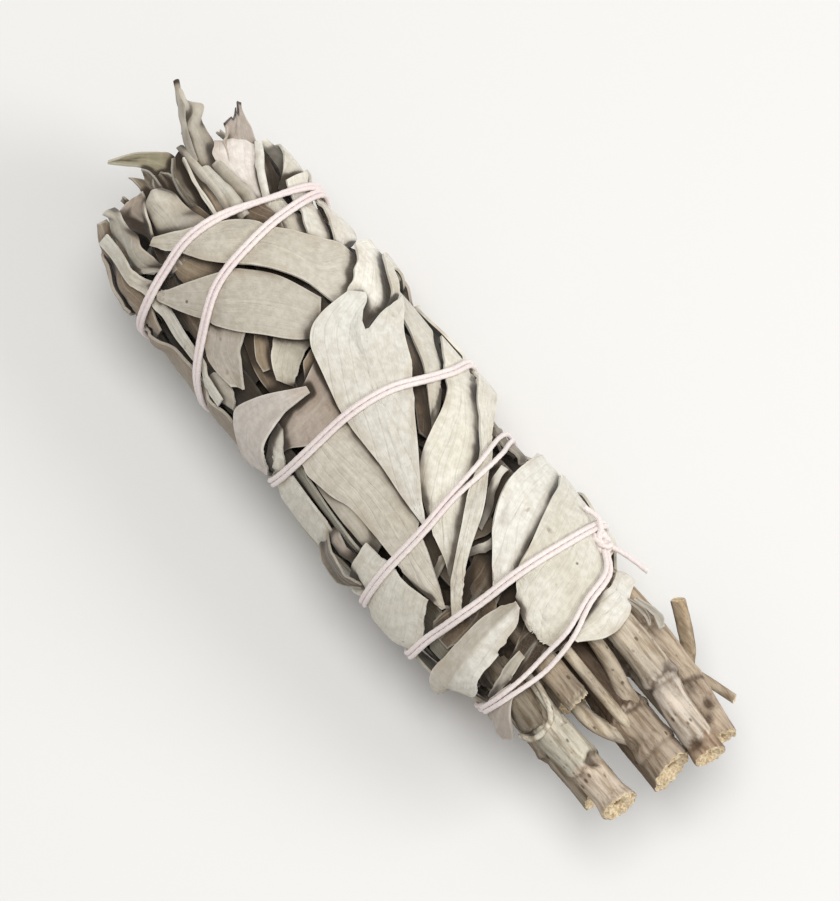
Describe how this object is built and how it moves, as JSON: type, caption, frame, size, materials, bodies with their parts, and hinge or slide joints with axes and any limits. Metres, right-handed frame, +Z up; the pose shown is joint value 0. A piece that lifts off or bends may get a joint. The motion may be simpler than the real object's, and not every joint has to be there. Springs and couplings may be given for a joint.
{
  "type": "sage smudge stick",
  "caption": "Bundle of dried sage leaves on woody stems, wrapped in its own leaves and bound tightly with doubled cotton string; lies on its side.",
  "frame": {"origin": "on the flat spot under the bundle where it rests on a surface", "axes": "+X along the bundle from the leaf tips to the cut stems, +Z up from the surface it lies on"},
  "size_m": [0.1152, 0.0351, 0.0316],
  "materials": {
    "leaf": "matt, downy, dry grey-green leaf with paler veins and brown spots",
    "inner": "matt, dry crumpled inner leaf, grey-green to brown",
    "stem": "matt, dry ribbed herb stem with pale cut ends",
    "string": "soft twisted cotton, off-white"
  },
  "bodies": {
    "root": {"inner_bunch": "inner", "leaf_back_left": "leaf", "leaf_back_tip": "leaf", "leaf_below_mottled": "leaf", "leaf_broad_low": "leaf", "leaf_centre": "leaf", "leaf_collar_back": "leaf", "leaf_collar_low": "leaf", "leaf_cross_lower": "leaf", "leaf_cross_upper": "leaf", "leaf_curled_strip": "leaf", "leaf_folded_left": "leaf", "leaf_folded_right": "leaf", "leaf_long_back": "leaf", "leaf_middle_right": "leaf", "leaf_mottled": "leaf", "leaf_narrow_folded": "leaf", "leaf_rest": "leaf", "leaf_rest_stem": "leaf", "leaf_ribbon": "leaf", "leaf_right_inner": "leaf", "leaf_right_large": "leaf", "leaf_short_left": "leaf", "leaf_side_low": "leaf", "leaf_side_middle": "leaf", "leaf_side_right": "leaf", "leaf_side_tip": "leaf", "leaf_strip_back": "leaf", "leaf_tip_low": "leaf", "leaf_under_1": "leaf", "leaf_under_10": "leaf", "leaf_under_11": "leaf", "leaf_under_12": "leaf", "leaf_under_13": "leaf", "leaf_under_14": "leaf", "leaf_under_15": "leaf", "leaf_under_16": "leaf", "leaf_under_2": "leaf", "leaf_under_3": "leaf", "leaf_under_4": "leaf", "leaf_under_5": "leaf", "leaf_under_6": "leaf", "leaf_under_7": "leaf", "leaf_under_8": "leaf", "leaf_under_9": "leaf", "leaf_upper_middle": "leaf", "stem_centre": "stem", "stem_front": "stem", "stem_side": "stem", "stem_stub": "stem", "stem_top_left": "stem", "stem_top_right": "stem", "stem_under_left": "stem", "stem_under_middle": "stem", "stem_under_right": "stem", "string": "string"}
  },
  "joints": []
}
